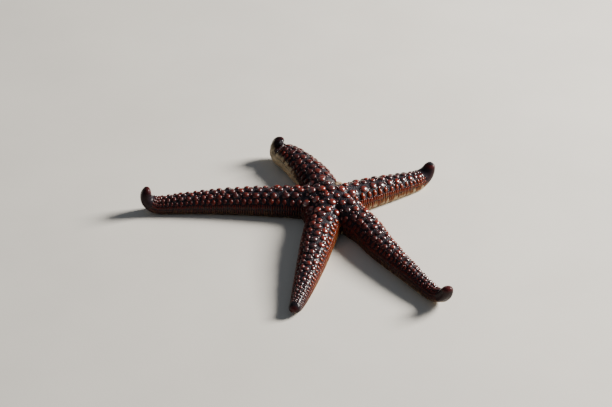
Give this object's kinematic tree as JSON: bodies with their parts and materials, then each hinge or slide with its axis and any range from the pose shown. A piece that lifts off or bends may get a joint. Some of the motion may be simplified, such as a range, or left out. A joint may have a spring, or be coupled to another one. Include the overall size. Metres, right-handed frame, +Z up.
{
  "type": "starfish",
  "caption": "Still, life-size knobby starfish that lies flat on its underside, with the tips of its tapering arms curled up.",
  "frame": {"origin": "middle of the whole starfish's box, on the floor", "axes": "+Z up from the floor; -Y towards the viewer; +X to the viewer's right, along the longest side of the box"},
  "size_m": [0.144, 0.1332, 0.0161],
  "materials": {
    "body_wall": "wet, glossy, dark skin set with brick-red domed plates, cream underneath",
    "arm_tip": "wet, smooth, nearly black skin",
    "sieve_plate": "matt, finely furrowed limy plate"
  },
  "bodies": {
    "root": {"disc": "body_wall", "sieve_plate": "sieve_plate", "front_right_arm": "body_wall", "front_right_arm_tip": "arm_tip", "back_right_arm": "body_wall", "back_right_arm_tip": "arm_tip", "back_left_arm": "body_wall", "back_left_arm_tip": "arm_tip", "left_arm": "body_wall", "left_arm_tip": "arm_tip", "front_arm": "body_wall", "front_arm_tip": "arm_tip"}
  },
  "joints": []
}
